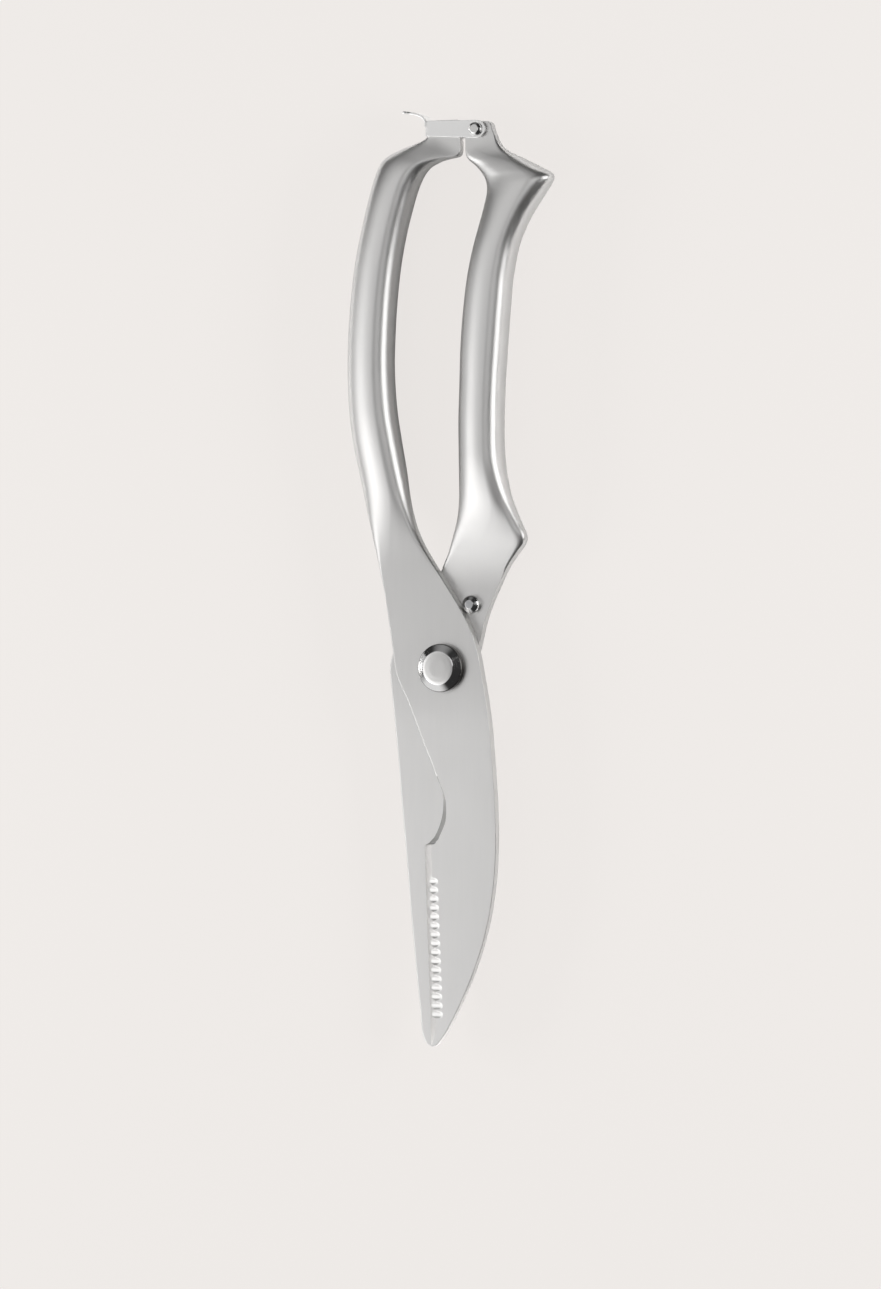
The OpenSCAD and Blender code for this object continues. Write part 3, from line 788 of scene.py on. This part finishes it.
SKY_BASE = 0.03
SOFT_AREAS = (  # middle, radius of the even part and of the whole in degrees, strength
    (leaning(-30, -6), 8, 48, 0.35),
    (leaning(-25, 38), 8, 36, 0.32),
    (leaning(-30, -30), 10, 29, 0.80),
    ((-0.6, -0.75, 0.15), 15, 45, 0.8),
)
SOFTBOXES = (  # name, lean, distance, (across, along Y) in metres, radiance, seen in the steel
    ("left_box", (-47, -10), 0.45, (0.20, 0.38), 0.88, True),
    ("low_left_box", (-66, 12), 0.45, (0.42, 0.22), 0.50, True),
    ("teeth_box", (-60, -14), 0.45, (0.14, 0.22), 0.60, True),
    ("top_box", (17, 18), 0.45, (0.24, 0.20), 0.74, True),
    ("latch_box", (-25, 27), 0.45, (0.18, 0.11), 0.34, True),
    ("right_strip", (64, 15), 0.50, (0.27, 0.27), 2.25, True),
    ("left_fill", (-76, 0), 0.80, (0.12, 0.5), 60, False),
    ("right_fill", (76, 0), 0.80, (0.12, 0.5), 60, False),
)


def soft_area(sky, look, middle, full, fade, strength):
    """A soft bright area of the surroundings round a direction."""
    dot = sky.nodes.new("ShaderNodeVectorMath")
    dot.operation = "DOT_PRODUCT"
    dot.inputs[1].default_value = Vector(middle).normalized()
    sky.links.new(look.outputs["Generated"], dot.inputs[0])
    ramp = sky.nodes.new("ShaderNodeMapRange")
    ramp.interpolation_type = "SMOOTHSTEP"
    ramp.inputs["From Min"].default_value = math.cos(math.radians(fade))
    ramp.inputs["From Max"].default_value = math.cos(math.radians(full))
    ramp.inputs["To Min"].default_value = 0.0
    ramp.inputs["To Max"].default_value = strength
    sky.links.new(dot.outputs["Value"], ramp.inputs["Value"])
    return ramp.outputs["Result"]


def studio():
    """Dark surroundings with the soft bright areas added up."""
    world = bpy.data.worlds.new("studio")
    bpy.context.scene.world = world
    world.use_nodes = True
    sky = world.node_tree
    look = sky.nodes.new("ShaderNodeTexCoord")
    total = None
    for area in SOFT_AREAS:
        add = sky.nodes.new("ShaderNodeMath")
        add.operation = "ADD"
        add.inputs[0].default_value = SKY_BASE
        if total is not None:
            sky.links.new(total, add.inputs[0])
        sky.links.new(soft_area(sky, look, *area), add.inputs[1])
        total = add.outputs["Value"]
    sky.links.new(total, sky.nodes["Background"].inputs["Color"])


def softbox(name, lean, distance, size, radiance, reflected):
    """A soft box lamp facing the pivot."""
    lamp = bpy.data.lights.new(name, "AREA")
    lamp.shape = "RECTANGLE"
    lamp.size, lamp.size_y = size
    lamp.energy = radiance * math.pi * size[0] * size[1]
    obj = bpy.data.objects.new(name, lamp)
    bpy.context.collection.objects.link(obj)
    away = Vector(leaning(*lean))
    side = Vector((0, 1, 0)).cross(away).normalized()
    up = away.cross(side)
    obj.matrix_world = Matrix((
        (side.x, up.x, away.x, 0), (side.y, up.y, away.y, 0), (side.z, up.z, away.z, 0),
        (0, 0, 0, 1)))
    obj.location = PIVOT + away * distance
    obj.visible_glossy = reflected


studio()
for box in SOFTBOXES:
    softbox(*box)


# ---------------------------------------------------------------- camera
def add_camera():
    """Looks down on the shears, leaning towards their right side."""
    tilt = math.radians(25)
    distance = 1.8
    view_height = 0.3456  # what the picture's long side takes in at the pivot, in metres
    back = Vector((math.sin(tilt), 0, math.cos(tilt)))
    right = Vector((math.cos(tilt), 0, -math.sin(tilt)))
    target = PIVOT + right * -1.55 * MM + Vector((0, 6.3 * MM, 0))
    cam = bpy.data.cameras.new("camera")
    cam.sensor_width = 36
    cam.lens = cam.sensor_width * distance / view_height
    camera = bpy.data.objects.new("camera", cam)
    bpy.context.collection.objects.link(camera)
    camera.matrix_world = Matrix((
        (right.x, 0, back.x, 0), (right.y, 1, back.y, 0), (right.z, 0, back.z, 0), (0, 0, 0, 1)))
    camera.location = target + back * distance
    bpy.context.scene.camera = camera


add_camera()
bpy.context.scene.view_settings.view_transform = "Standard"
